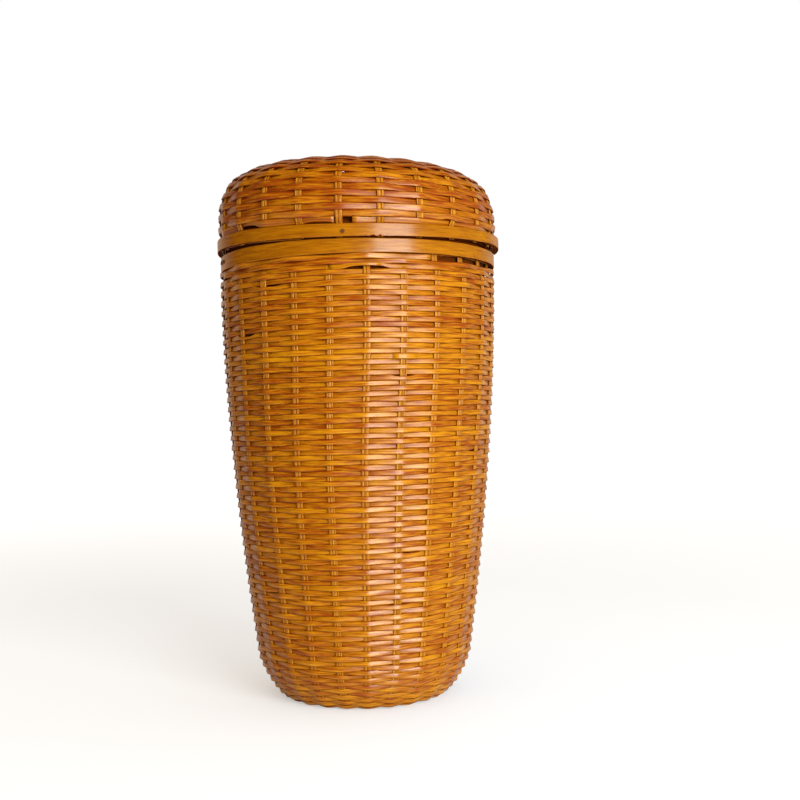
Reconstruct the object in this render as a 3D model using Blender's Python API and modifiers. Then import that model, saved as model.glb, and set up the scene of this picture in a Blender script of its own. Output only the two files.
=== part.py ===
# Lidded basket of woven bamboo: long stakes cross under the base and run up the wall, thin weavers go
# round between them, and bent strips hold the mouth. The lid is made the same way and slips over a collar.
#
# Frame: metres, +Z up, origin on the floor under the middle of the base. Angles round the basket are
# counted from the front (-Y) towards +X.

import math

import bmesh
import bpy
from mathutils import Vector

# Driving dimensions of the body
base_radius = 0.0328          # flat part that stands on the floor
turn_height = 0.0174          # height at which the base has turned into the wall
turn_fullness = 1.36          # 1 is a straight bevel, 2 a round turn
rim_radius = 0.0558           # outer face of the weave just below the hoop
wall_taper = 0.0112           # how much the wall narrows over taper_height
taper_height = 0.142
taper_power = 1.75            # how the taper gathers towards the base
body_height = 0.17695         # top of the body hoop
weave_thickness = 0.0022
stake_thickness = 0.0008
stake_width = 0.0027
stake_width_at_centre = 0.0022
stake_recess = 0.00015        # the weavers bulge past the stakes by this much
body_strips = 12              # long strips that cross under the base
stake_phase = math.radians(5.3)
cross_pitch = 0.0026          # spacing of the strips where they cross
weave_margin = 0.00245        # from the corner of the cross to the first weaver
squeeze_run = 0.005           # the hoop draws the weave in over this height

# Driving dimensions of the hoops and the collar
hoop_height = 0.00515
hoop_thickness = 0.0012
collar_height = 0.022
collar_proud = 0.0100         # how far the collar stands out of the mouth
collar_thickness = 0.0012
collar_clearance = 0.0004     # the lid slips over the collar with this much room
inner_hoop_height = 0.0065
inner_hoop_thickness = 0.0009
slit = math.radians(0.6)      # butted ends of a hoop stand this far apart

# Driving dimensions of the lid
lid_hoop_height = 0.00485
lid_height = 0.0345           # from the seat to the crown
lid_bulge = 0.00024           # the lid's weave stands this much past its rim
lid_wall_height = 0.0075      # straight part above the seat
lid_roundness = 4.6           # how squarely the shoulder turns, seen along the radius
crown_roundness = 3.8         # the same, seen along the height
lid_strips = 11
lid_stake_phase = math.radians(9.8)
rim_warp = 0.0019             # the lid's rim stands off the body's by this much at its two sides
warp_fade = 0.022             # the warp has died out at this height above the seat
lid_overlap = math.radians(34)
lid_overlap_angle = math.radians(64)
overlap_ramp = math.radians(9)
thin_end = 0.45               # share of a hoop's thickness left at its whittled ends
body_hoop_end = math.radians(150)
collar_end = math.radians(20)
inner_hoop_end = math.radians(160)

# Driving dimensions of the nails
nail_head_radius = 0.0008
nail_head_height = 0.0003
nail_radius = 0.0004
nail_length = 0.0030
nail_room = 0.00015           # the nail's hole is this much wider all round
lid_nail_height = 0.0019      # above the seat
left_nail_stake = 5           # the body hoop's nails stand left of this stake, counted left from the front

# Clearances and mesh fineness
gap = 0.0003
fold_room = 0.00045           # from the edge of the cross to the fold of a strip
crease = math.radians(35)     # an edge sharper than this isn't shaded smooth
hoop_steps = 60
turn_steps = 4
wall_steps = 5
shoulder_steps = 5
nail_steps = 10
run_steps = 2                 # steps of the profile in each of the two lower runs of the wall
crown_steps = 3               # steps of the profile in the crown's run

# Sizes that follow
stake_count = 2 * body_strips + 1
lid_stake_count = 2 * lid_strips + 1
cross_half = (math.ceil(body_strips / 2) - 1) / 2 * cross_pitch + stake_width_at_centre / 2
weave_start = cross_half * math.sqrt(2) + weave_margin
seat = body_height + gap
squeeze_height = body_height - hoop_height - gap
weave_outer_at_rim = rim_radius - hoop_thickness
collar_outer = weave_outer_at_rim - weave_thickness - gap
inner_hoop_inner = collar_outer + collar_clearance
lid_weave_inner = inner_hoop_inner + inner_hoop_thickness + gap
lid_weave_outer_at_rim = lid_weave_inner + weave_thickness
lid_radius = lid_weave_outer_at_rim + lid_bulge
channel_depth = stake_recess + stake_thickness + gap


def clear_scene():
    for item in list(bpy.data.objects):
        bpy.data.objects.remove(item, do_unlink=True)
    for group in list(bpy.data.collections):
        bpy.data.collections.remove(group)


def collection(name):
    group = bpy.data.collections.new(name)
    bpy.context.scene.collection.children.link(group)
    return group


def material(name, colour, roughness, metallic=0.0):
    made = bpy.data.materials.new(name)
    made.use_nodes = True
    shader = made.node_tree.nodes["Principled BSDF"]
    shader.inputs["Base Color"].default_value = (*colour, 1.0)
    shader.inputs["Roughness"].default_value = roughness
    shader.inputs["Metallic"].default_value = metallic
    made.diffuse_color = (*colour, 1.0)
    return made


def mesh_object(name, bm, finish, group):
    bmesh.ops.recalc_face_normals(bm, faces=bm.faces)
    mesh = bpy.data.meshes.new(name)
    bm.to_mesh(mesh)
    bm.free()
    mesh.shade_smooth()
    mesh.set_sharp_from_angle(angle=crease)
    made = bpy.data.objects.new(name, mesh)
    made.data.materials.append(finish)
    group.objects.link(made)
    return made


def outward(angle):
    return Vector((math.sin(angle), -math.cos(angle), 0.0))


def sideways(angle):
    return Vector((math.cos(angle), math.sin(angle), 0.0))


# A profile is a list of (radius, height) points on the weave's outer face, from the middle of the base or
# crown to the rim. Its normals point out of the weave.

def wall_radius(height):
    share = max(squeeze_height - height, 0.0) / taper_height
    return rim_radius - wall_taper * share ** taper_power


def body_profile():
    points = [(weave_start, 0.0), (base_radius, 0.0)]
    reach = wall_radius(turn_height) - base_radius
    for step in range(1, turn_steps + 1):
        turn = math.pi / 2 * step / turn_steps
        across = math.sin(turn) ** (2 / turn_fullness)
        up = 1 - math.cos(turn) ** (2 / turn_fullness)
        points.append((base_radius + reach * across, turn_height * up))
    straight_top = squeeze_height - squeeze_run
    for step in range(1, wall_steps + 1):
        height = turn_height + (straight_top - turn_height) * step / wall_steps
        points.append((wall_radius(height), height))
    points.append((weave_outer_at_rim, squeeze_height))
    points.append((weave_outer_at_rim, body_height))
    return points


def lid_profile():
    shoulder = seat + lid_wall_height
    points = [(weave_start, seat + lid_height)]
    for step in range(shoulder_steps, 0, -1):
        turn = math.pi / 2 * step / (shoulder_steps + 1)
        radius = lid_radius * math.cos(turn) ** (2 / lid_roundness)
        rise = (lid_height - lid_wall_height) * math.sin(turn) ** (2 / crown_roundness)
        points.append((radius, shoulder + rise))
    points.append((lid_radius, shoulder))
    points.append((lid_weave_outer_at_rim, seat + lid_hoop_height))
    points.append((lid_weave_outer_at_rim, seat))
    return points


def profile_normals(points):
    # Mitred normals: an offset along them keeps the weave's thickness on both sides of a bend.
    turn_right = 1 if points[-1][1] > points[0][1] else -1
    normals = []
    for index in range(len(points)):
        sides = []
        for first, second in ((index - 1, index), (index, index + 1)):
            if first < 0 or second >= len(points):
                continue
            run = Vector(points[second]) - Vector(points[first])
            sides.append(Vector((run.y, -run.x)).normalized() * turn_right)
        normal = sum(sides, Vector((0.0, 0.0))).normalized()
        normals.append(normal / normal.dot(sides[0]))
    return normals


def shifted(points, normals, depth):
    return [Vector(point) - normal * depth for point, normal in zip(points, normals)]


def stake_width_at(radius):
    share = min(max((radius - weave_start) / (base_radius - weave_start), 0.0), 1.0)
    return stake_width_at_centre + (stake_width - stake_width_at_centre) * share


def no_warp(point):
    return point


def lid_warp(point):
    fade = min(max(1 - (point.z - seat) / warp_fade, 0.0), 1.0)
    side = point.x ** 2 / max(point.x ** 2 + point.y ** 2, 1e-12)
    return Vector((point.x, point.y, point.z + rim_warp * fade * side))


# The woven shell: one closed loft round the axis, with a channel over each stake.

def weave_shell(name, points, normals, span, count, phase, warp, finish, group):
    first, last = span
    run_points = points[first:last + 1]
    run_normals = normals[first:last + 1]
    outer = shifted(run_points, run_normals, 0.0)
    deep = shifted(run_points, run_normals, channel_depth)
    inner = shifted(run_points, run_normals, weave_thickness)
    # Neighbouring runs of weaving stand apart by the gap.
    for line in (outer, deep, inner):
        if first > 0:
            line[0] = line[0] + (line[1] - line[0]).normalized() * (gap / 2)
        if last < len(points) - 1:
            line[-1] = line[-1] + (line[-2] - line[-1]).normalized() * (gap / 2)
    pitch = 2 * math.pi / count
    flat = math.cos(pitch / 2)
    bm = bmesh.new()

    def vertex(angle, place, stretch=1.0):
        spot = outward(angle) * (place.x * stretch)
        return bm.verts.new(warp(Vector((spot.x, spot.y, place.y))))

    grid = []
    for face, floor, back in zip(outer, deep, inner):
        ring = []
        half = stake_width_at(face.x) / 2 + gap
        turn = math.asin(half / face.x)
        for stake in range(count):
            middle = phase + stake * pitch
            ring.append([vertex(middle - turn, face), vertex(middle - turn, floor),
                         vertex(middle + turn, floor), vertex(middle + turn, face),
                         vertex(middle + pitch / 2, back, 1 / flat)])
        grid.append(ring)
    for low, high in zip(grid, grid[1:]):
        for stake in range(count):
            after = (stake + 1) % count
            outline_low = low[stake][:4] + [low[after][0]]
            outline_high = high[stake][:4] + [high[after][0]]
            for side in range(4):
                bm.faces.new((outline_low[side], outline_low[side + 1],
                              outline_high[side + 1], outline_high[side]))
            bm.faces.new((low[after][4], low[stake][4], high[stake][4], high[after][4]))
    for ring in (grid[0], grid[-1]):
        for stake in range(count):
            after = (stake + 1) % count
            left, floor_left, floor_right, right, back = ring[stake]
            before = ring[stake - 1][4]
            bm.faces.new((before, left, floor_left))
            bm.faces.new((before, floor_left, floor_right, back))
            bm.faces.new((floor_right, right, back))
            bm.faces.new((right, ring[after][0], back))
    return mesh_object(name, bm, finish, group)


# A strip: a rectangular section carried along a path of (middle, side, normal, width) stations.

def strip(name, stations, warp, finish, group):
    bm = bmesh.new()
    sections = []
    for middle, side, normal, width in stations:
        corners = []
        for across, depth in ((-1, 0), (1, 0), (1, 1), (-1, 1)):
            spot = middle + side * (across * width / 2) - normal * (depth * stake_thickness)
            corners.append(bm.verts.new(warp(spot)))
        sections.append(corners)
    for near, far in zip(sections, sections[1:]):
        for corner in range(4):
            after = (corner + 1) % 4
            bm.faces.new((near[corner], near[after], far[after], far[corner]))
    bm.faces.new(sections[0])
    bm.faces.new(sections[-1])
    return mesh_object(name, bm, finish, group)


def wall_stations(points, normals, angle):
    # One end of a stake, from the start of the weaving to the rim, lying in its channel.
    stations = []
    for place, normal in zip(points, normals):
        out = outward(angle)
        face = Vector(place) - normal * stake_recess
        middle = Vector((out.x * face.x, out.y * face.x, face.y))
        lean = Vector((out.x * normal.x, out.y * normal.x, normal.y))
        stations.append((middle, sideways(angle), lean, stake_width_at(place[0])))
    # A stake's end stays inside the hoops.
    middle, side, lean, width = stations[-1]
    back = (stations[-2][0] - middle).normalized() * gap
    stations[-1] = (middle + back, side, lean, width)
    return stations


def cross_stations(axis, offset, level, out_sign, edge):
    # The flat part of a crossing strip, from the middle to the edge of the cross.
    along = outward(axis)
    across = sideways(axis)
    stations = []
    for reach in (0.0, edge):
        middle = along * reach + across * offset
        middle.z = level
        stations.append((middle, across, Vector((0, 0, out_sign)), stake_width_at_centre))
    return stations


def crossing_stakes(prefix, points, normals, strips, first_angle, out_sign, warp, finish, group):
    # Group a lies outermost and group b under it, at right angles. Their ends go round in the order
    # a, b, a, b after the odd stake, which has one of the four corners of the cross to itself.
    pitch = 2 * math.pi / (2 * strips + 1)
    in_a = math.ceil(strips / 2)
    in_b = strips - in_a
    edge = cross_half + fold_room
    skin = points[0][1] - out_sign * stake_recess
    for letter, size, near_first, layer in (("a", in_a, 1, 0), ("b", in_b, 1 + in_a, 1)):
        level = skin - out_sign * layer * (stake_thickness + gap)
        far_first = near_first + strips
        near_axis = first_angle + (near_first + (size - 1) / 2) * pitch
        far_axis = first_angle + (far_first + (size - 1) / 2) * pitch
        axis = (near_axis + far_axis - math.pi) / 2
        for number in range(size):
            offset = (number - (size - 1) / 2) * cross_pitch
            near_angle = first_angle + (near_first + number) * pitch
            far_angle = first_angle + (far_first + size - 1 - number) * pitch
            near = cross_stations(axis, offset, level, out_sign, edge)
            near += wall_stations(points, normals, near_angle)
            far = cross_stations(axis + math.pi, -offset, level, out_sign, edge)[1:]
            far += wall_stations(points, normals, far_angle)
            turned = [(middle, -side, normal, width) for middle, side, normal, width in reversed(far)]
            strip(f"{prefix}_stake_{letter}{number + 1}", turned + near, warp, finish, group)
    strip(f"{prefix}_stake_odd", wall_stations(points, normals, first_angle), warp, finish, group)


# A hoop: a bent strip with butted ends, or with thinned ends that lie over each other.

def hoop(name, inner, thickness, low, high, start, overlap, warp, finish, group):
    climb = thin_end * thickness + gap
    length = 2 * math.pi + overlap if overlap else 2 * math.pi - slit
    steps = round(hoop_steps * length / (2 * math.pi))
    turns = [length * step / steps for step in range(steps + 1)]
    if overlap:
        # Stations stand exactly where the strip starts to climb and where it has climbed.
        for mark in (overlap, 2 * math.pi - overlap_ramp, 2 * math.pi):
            nearest = min(range(1, steps), key=lambda index: abs(turns[index] - mark))
            turns[nearest] = mark
    bm = bmesh.new()
    sections = []
    for turn in turns:
        lift = 0.0
        depth = thickness
        if overlap:
            into_start = min(turn / overlap, 1.0)
            into_end = min(max((turn - 2 * math.pi) / overlap, 0.0), 1.0)
            climbing = min(max((turn - 2 * math.pi + overlap_ramp) / overlap_ramp, 0.0), 1.0)
            depth = thickness * (thin_end + (1 - thin_end) * into_start) * (1 - (1 - thin_end) * into_end)
            lift = climb * climbing + thickness * (1 - thin_end) * into_end
        corners = []
        for radius, height in ((inner + lift, low), (inner + lift + depth, low),
                               (inner + lift + depth, high), (inner + lift, high)):
            spot = outward(start + turn) * radius
            corners.append(bm.verts.new(warp(Vector((spot.x, spot.y, height)))))
        sections.append(corners)
    for near, far in zip(sections, sections[1:]):
        for corner in range(4):
            after = (corner + 1) % 4
            bm.faces.new((near[corner], near[after], far[after], far[corner]))
    bm.faces.new(sections[0])
    bm.faces.new(sections[-1])
    return mesh_object(name, bm, finish, group)


# A nail: a shank with a flat round head, turned on its own axis and driven in towards the basket's.

def point_outwards(piece, angle, radius, height):
    spot = outward(angle) * radius
    piece.location = (spot.x, spot.y, height)
    piece.rotation_euler = (math.pi / 2, 0, angle)


def nail(name, angle, hoop_outer, height, finish, group):
    bm = bmesh.new()
    profile = ((0.0, nail_head_height), (nail_head_radius, nail_head_height), (nail_head_radius, 0.0),
               (nail_radius, 0.0), (nail_radius, -nail_length), (0.0, -nail_length))
    verts = [bm.verts.new((radius, 0.0, along)) for radius, along in profile]
    for upper, lower in zip(verts, verts[1:]):
        bm.edges.new((upper, lower))
    mesh = bpy.data.meshes.new(name)
    bm.to_mesh(mesh)
    bm.free()
    made = bpy.data.objects.new(name, mesh)
    made.data.materials.append(finish)
    group.objects.link(made)
    turn = made.modifiers.new("turned", "SCREW")
    turn.steps = nail_steps
    turn.render_steps = nail_steps
    turn.use_merge_vertices = True
    turn.merge_threshold = 0.00001
    point_outwards(made, angle, hoop_outer + gap / 2, height)


def drill(pieces, name, angle, hoop_outer, height, group):
    deep = nail_length + 2 * gap
    bm = bmesh.new()
    bore = nail_radius + nail_room
    bmesh.ops.create_cone(bm, cap_ends=True, segments=nail_steps, radius1=bore, radius2=bore, depth=deep)
    bmesh.ops.translate(bm, verts=bm.verts, vec=(0, 0, -deep / 2))
    mesh = bpy.data.meshes.new(name)
    bm.to_mesh(mesh)
    bm.free()
    bit = bpy.data.objects.new(name, mesh)
    group.objects.link(bit)
    bit.hide_render = True
    bit.display_type = "WIRE"
    point_outwards(bit, angle, hoop_outer + gap, height)
    for piece in pieces:
        cut = piece.modifiers.new(name, "BOOLEAN")
        cut.operation = "DIFFERENCE"
        cut.solver = "EXACT"
        cut.object = bit


def beside_stake(stake_angle, side, radius):
    # The angle at which a nail just passes a stake.
    away = stake_width / 2 + 2 * gap + nail_radius + nail_room
    return stake_angle + side * away / radius


def build():
    clear_scene()
    basket = collection("woven_basket")
    cutters = collection("cutters")
    stake_finish = material("stake_bamboo", (0.60, 0.33, 0.10), 0.42)
    weaver_finish = material("weaver_bamboo", (0.62, 0.30, 0.07), 0.38)
    hoop_finish = material("hoop_bamboo", (0.66, 0.36, 0.08), 0.32)
    collar_finish = material("collar_bamboo", (0.40, 0.19, 0.06), 0.50)
    nail_finish = material("dark_iron", (0.10, 0.06, 0.04), 0.50, 0.8)
    pitch = 2 * math.pi / stake_count
    lid_pitch = 2 * math.pi / lid_stake_count

    # Body: four runs of weavers, the stakes, the hoop outside the mouth and the collar inside it
    profile = body_profile()
    normals = profile_normals(profile)
    wall_foot = 1 + turn_steps
    marks = (0, wall_foot, wall_foot + run_steps, wall_foot + 2 * run_steps, len(profile) - 1)
    names = ("base_weavers", "lower_wall_weavers", "middle_wall_weavers", "upper_wall_weavers")
    for name, low, high in zip(names, marks, marks[1:]):
        rim_weave = weave_shell(name, profile, normals, (low, high), stake_count, stake_phase, no_warp,
                                weaver_finish, basket)
    crossing_stakes("body", profile, normals, body_strips, stake_phase + body_strips * pitch, -1, no_warp,
                    stake_finish, basket)
    hoop_inner = weave_outer_at_rim + gap
    body_hoop = hoop("body_hoop", hoop_inner, hoop_thickness, body_height - hoop_height, body_height,
                     body_hoop_end, 0.0, no_warp, hoop_finish, basket)
    collar_top = body_height + collar_proud
    hoop("collar", collar_outer - collar_thickness, collar_thickness, collar_top - collar_height, collar_top,
         collar_end, 0.0, no_warp, collar_finish, basket)

    # Lid: crown and side weavers, the stakes, the hoop outside and the hoop that grips the collar
    lid_line = lid_profile()
    lid_normals = profile_normals(lid_line)
    lid_marks = (0, crown_steps, len(lid_line) - 1)
    for name, low, high in zip(("lid_crown_weavers", "lid_side_weavers"), lid_marks, lid_marks[1:]):
        lid_rim_weave = weave_shell(name, lid_line, lid_normals, (low, high), lid_stake_count,
                                    lid_stake_phase, lid_warp, weaver_finish, basket)
    crossing_stakes("lid", lid_line, lid_normals, lid_strips, lid_stake_phase + lid_strips * lid_pitch, 1,
                    lid_warp, stake_finish, basket)
    lid_hoop_inner = lid_weave_outer_at_rim + gap
    lid_hoop = hoop("lid_hoop", lid_hoop_inner, hoop_thickness, seat, seat + lid_hoop_height,
                    lid_overlap_angle, lid_overlap, lid_warp, hoop_finish, basket)
    hoop("lid_inner_hoop", inner_hoop_inner, inner_hoop_thickness, seat, seat + inner_hoop_height,
         inner_hoop_end, 0.0, lid_warp, collar_finish, basket)

    # Nails: two on the left of the body hoop, one near the front of the lid hoop, each between stakes
    outer = hoop_inner + hoop_thickness
    left_stake = stake_phase - left_nail_stake * pitch
    height = body_height - hoop_height / 2
    for number, angle in ((1, left_stake - pitch / 2), (2, beside_stake(left_stake, -1, weave_outer_at_rim))):
        nail(f"body_hoop_nail_{number}", angle, outer, height, nail_finish, basket)
        drill((body_hoop, rim_weave), f"body_nail_hole_{number}", angle, outer, height, cutters)
    outer = lid_hoop_inner + hoop_thickness
    angle = beside_stake(lid_stake_phase - lid_pitch, 1, lid_weave_outer_at_rim)
    nail("lid_hoop_nail", angle, outer, seat + lid_nail_height, nail_finish, basket)
    drill((lid_hoop, lid_rim_weave), "lid_nail_hole", angle, outer, seat + lid_nail_height, cutters)


build()
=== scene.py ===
# %% [markdown]
# # A tall lidded basket of woven bamboo
# Every piece of the real basket but its nails is made of strips split from a bamboo stem. Here each is made
# the same way too: a long strip that follows a path. The frame that is loaded first has every piece.

# %% Load the frame and keep its box
import math

import bpy
from mathutils import Matrix, Vector


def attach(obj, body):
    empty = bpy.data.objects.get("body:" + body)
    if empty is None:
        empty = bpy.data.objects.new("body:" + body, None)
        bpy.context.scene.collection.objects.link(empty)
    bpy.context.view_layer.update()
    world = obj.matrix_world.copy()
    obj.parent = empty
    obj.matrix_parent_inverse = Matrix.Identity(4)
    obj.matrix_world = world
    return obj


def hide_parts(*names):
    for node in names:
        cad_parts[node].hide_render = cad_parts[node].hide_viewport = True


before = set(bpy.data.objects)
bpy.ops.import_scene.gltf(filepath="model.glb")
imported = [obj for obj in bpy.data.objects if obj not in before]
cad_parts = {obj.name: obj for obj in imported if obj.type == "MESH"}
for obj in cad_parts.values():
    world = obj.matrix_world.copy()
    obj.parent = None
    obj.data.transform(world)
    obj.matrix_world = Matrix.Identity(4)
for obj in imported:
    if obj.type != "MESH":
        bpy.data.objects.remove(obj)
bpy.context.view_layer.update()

scene = bpy.context.scene

# %% [markdown]
# ## The sizes of the basket
# A basket maker starts from a few sizes: how wide it stands, how wide the mouth is, how tall, and how many
# stakes there are. The number of stakes is odd, so that one long weaver can go round in a spiral and pass
# each stake on the other side at every turn. All lengths are in metres. Angles round the basket are counted
# from the front (-Y) towards +X.

# %% Sizes of the body and of the lid
base_radius, turn_height, turn_fullness = 0.0328, 0.0174, 1.36
rim_radius, wall_taper, taper_height, taper_power = 0.0558, 0.0112, 0.142, 1.75
body_height, weave_thickness = 0.17695, 0.0022
hoop_height, hoop_thickness = 0.00515, 0.0012
gap = 0.0003
tuck_start, tuck_run, tuck_steps = 0.1710, 0.0014, 6
weave_start = 0.01322
body_crown, lid_crown = 0.00085, 0.00105   # how far the crossings stand proud of the smooth surface
crown_rise = 0.0009

body_strips, lid_strips = 12, 11   # long strips, each of which gives two stakes
body_stakes, lid_stakes = 2 * body_strips + 1, 2 * lid_strips + 1
body_phase, lid_phase = math.radians(5.3), math.radians(10.8)
twist, twist_top, twist_run = math.radians(-2.0), 0.150, 0.062   # the weaver pulls the stakes a little round
stake_width, stake_width_at_centre, cross_pitch = 0.0027, 0.0022, 0.0026

squeeze_height = body_height - hoop_height - gap
weave_at_rim = rim_radius - hoop_thickness
seat = body_height + gap

collar_outer, collar_thickness, collar_proud, collar_height = 0.0521, 0.0012, 0.0100, 0.022
inner_hoop_inner, inner_hoop_thickness, inner_hoop_height = 0.0525, 0.0009, 0.0065
lid_weave_at_rim, lid_radius = 0.0559, 0.05614
lid_hoop_height, lid_height, lid_wall_height = 0.00485, 0.0345, 0.0075
lid_roundness, crown_roundness = 4.6, 3.8
rim_warp, warp_fade, crown_lean = 0.0019, 0.022, 15.0
lowest = 0.00002   # how far over the floor the lowest points of a strip lie
print(f"seat of the lid at {seat * 1000:.2f} mm, mouth {collar_outer * 2000:.1f} mm across the collar")

# %% [markdown]
# ## The outlines that the weaving follows
# The weave lies on a surface of revolution, so one outline in the radius-height plane says where every
# strip goes. It runs from the middle of the base or crown to the rim. Each outline becomes a helper curve,
# and the node trees sample it by length, which keeps the rows evenly spaced round the bend as well.

# %% Outlines as lists of (radius, height)
def wall_radius(height):
    share = max(squeeze_height - height, 0.0) / taper_height
    return rim_radius - wall_taper * share ** taper_power


def body_outline(turn_steps=28, wall_steps=60, tuck_start=tuck_start, tuck_run=tuck_run):
    points = [(weave_start, 0.0), (base_radius * 0.6, 0.0), (base_radius, 0.0)]
    reach = wall_radius(turn_height) - base_radius
    for step in range(1, turn_steps + 1):
        turn = math.pi / 2 * step / turn_steps
        share = math.sin(turn) ** (2 / turn_fullness)
        points.append((base_radius + (reach + body_crown) * share,
                       turn_height * (1 - math.cos(turn) ** (2 / turn_fullness))))
    for step in range(1, wall_steps + 1):
        height = turn_height + (tuck_start - turn_height) * step / wall_steps
        points.append((wall_radius(height) + body_crown, height))
    # The hoop draws the weave in along its lower edge.
    for step in range(1, tuck_steps + 1):
        ease = step / tuck_steps
        drawn = (3 * ease ** 2 - 2 * ease ** 3) * (rim_radius + body_crown - weave_at_rim)
        height = tuck_start + tuck_run * ease
        points.append((wall_radius(height) + body_crown - drawn, height))
    points.append((weave_at_rim, body_height))
    return points


def lid_outline(steps=36):
    shoulder = seat + lid_wall_height
    points = [(weave_start, seat + lid_height + crown_rise)]
    for step in range(steps, 0, -1):
        turn = math.pi / 2 * step / (steps + 1)
        radius = (lid_radius + lid_crown) * math.cos(turn) ** (2 / lid_roundness)
        rise = (lid_height + crown_rise - lid_wall_height) * math.sin(turn) ** (2 / crown_roundness)
        if radius > weave_start * 1.05:
            points.append((radius, shoulder + rise))
    points += [(lid_radius + lid_crown, shoulder), (lid_weave_at_rim, seat + lid_hoop_height),
               (lid_weave_at_rim, seat)]
    return points


def length_to(points, reached=lambda radius, height: False):
    """The length along an outline up to the first point for which reached(radius, height) is true."""
    length = 0.0
    for first, second in zip(points, points[1:]):
        if reached(*first):
            break
        length += math.dist(first, second)
    return length


def twisted(height):
    """How far the body's stakes have turned at a height, from 0 above twist_top."""
    share = min(max((twist_top - height) / twist_run, 0.0), 1.0)
    return twist * (3 * share ** 2 - 2 * share ** 3)


def new_object(name, data):
    """Make an object and put it in the scene."""
    made = bpy.data.objects.new(name, data)
    scene.collection.objects.link(made)
    return made


def helper_curve(name, points):
    curve = bpy.data.curves.new(name, "CURVE")
    curve.dimensions = "3D"
    spline = curve.splines.new("POLY")
    spline.points.add(len(points) - 1)
    for point, (radius, height) in zip(spline.points, points):
        point.co = (radius, 0.0, height, 1.0)
    return new_object(name, curve)


helpers = [helper_curve("body_outline", body_outline()), helper_curve("lid_outline", lid_outline())]
body_line, lid_line = helpers
print("outline lengths:", [round(length_to(line), 4) for line in (body_outline(), lid_outline())])

# %% [markdown]
# ## Writing formulas as nodes
# A Geometry Nodes tree for a woven strip is mostly arithmetic. This small class lets a formula be written in
# Python and adds one Math node for each operation, so the tree stays a real node tree that can be opened in
# the editor, and the script stays readable.

# %% Fields that turn formulas into Math nodes
class Field:
    """A socket that formulas can be written with. It knows the tree that it is in."""

    def __init__(self, socket):
        self.socket, self.tree = socket, socket.id_data

    def math(self, operation, *others, clamp=False):
        node = self.tree.nodes.new("ShaderNodeMath")
        node.operation, node.use_clamp = operation, clamp
        for slot, value in zip(node.inputs, (self, *others)):
            feed(slot, value)
        return out(node)

    def __add__(self, other): return self.math("ADD", other)
    def __sub__(self, other): return self.math("SUBTRACT", other)
    def __mul__(self, other): return self.math("MULTIPLY", other)
    def __truediv__(self, other): return self.math("DIVIDE", other)
    def __pow__(self, other): return self.math("POWER", other)
    def __neg__(self): return self.math("MULTIPLY", -1.0)
    def __rsub__(self, other): return (-self).math("ADD", other)
    def __rtruediv__(self, other): return (self ** -1.0) * other
    __radd__, __rmul__ = __add__, __mul__

    def clamped(self): return self.math("ADD", 0.0, clamp=True)
    def sin(self): return self.math("SINE")
    def cos(self): return self.math("COSINE")
    def abs(self): return self.math("ABSOLUTE")
    def bent(self, power): return self.math("SIGN") * self.abs() ** power


def out(node, name=0):
    return Field(node.outputs[name])


def feed(slot, value):
    if isinstance(value, Field):
        value.tree.links.new(value.socket, slot)
    else:
        slot.default_value = value


def feed_all(node, inputs):
    """Feed a node from a dict of socket name or number to a Field or a plain value."""
    for name, value in inputs.items():
        feed(node.inputs[name], value)


def add(tree, kind, inputs=None, **settings):
    """Add a node, with its settings first and then its inputs."""
    node = tree.nodes.new(kind)
    for name, value in settings.items():
        setattr(node, name, value)
    feed_all(node, inputs or {})
    return node


def vector(x=0.0, y=0.0, z=0.0):
    tree = next(value.tree for value in (x, y, z) if isinstance(value, Field))
    return out(add(tree, "ShaderNodeCombineXYZ", {0: x, 1: y, 2: z}))


def parts(field):
    split = add(field.tree, "ShaderNodeSeparateXYZ", {0: field})
    return [out(split, number) for number in range(3)]


def noise(place, scale=1.0, detail=0.0):
    """A smooth noise from about -1 to 1."""
    node = add(place.tree, "ShaderNodeTexNoise", {"Vector": place, "Scale": scale, "Detail": detail})
    return (out(node, "Fac") - 0.5) * 3.0


def chance(number):
    """A fixed chance value from -0.5 to 0.5 for each number."""
    node = add(number.tree, "ShaderNodeTexWhiteNoise", {"W": number}, noise_dimensions="1D")
    return out(node, "Value") - 0.5


def smooth_step(share):
    """Ease a share of 0 to 1 in and out."""
    return share * share * (3.0 - share * 2.0)


socket_kinds = {int: "Int", float: "Float", tuple: "Color"}


def new_group(tree_kind, name, inputs, outputs):
    """A node group. inputs is a dict of name to default value, or to the kind of a socket without one."""
    tree = bpy.data.node_groups.new(name, tree_kind)
    for label, value in inputs.items():
        kind = value if isinstance(value, str) else socket_kinds[type(value)]
        socket = tree.interface.new_socket(label, in_out="INPUT", socket_type=f"NodeSocket{kind}")
        if kind != value:
            socket.default_value = value
    for label, kind in outputs.items():
        tree.interface.new_socket(label, in_out="OUTPUT", socket_type=f"NodeSocket{kind}")
    entry, leave = tree.nodes.new("NodeGroupInput"), tree.nodes.new("NodeGroupOutput")
    return tree, {label: out(entry, label) for label in inputs}, leave


def new_tree(name, sizes):
    """A Geometry Nodes tree for a strip, with its sizes as inputs."""
    tree, given, _ = new_group("GeometryNodeTree", name, sizes, {"Geometry": "Geometry"})
    tree.is_modifier = True
    return tree, given


def keep_attribute(geometry, name, value, domain="POINT"):
    return out(add(geometry.tree, "GeometryNodeStoreNamedAttribute",
                   {"Geometry": geometry, "Name": name, "Value": value},
                   data_type="FLOAT_VECTOR", domain=domain))


def read_attribute(tree, name, data_type="FLOAT_VECTOR"):
    node = add(tree, "GeometryNodeInputNamedAttribute", {"Name": name}, data_type=data_type)
    return out(node, "Attribute")


print("field helpers ready")

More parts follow.
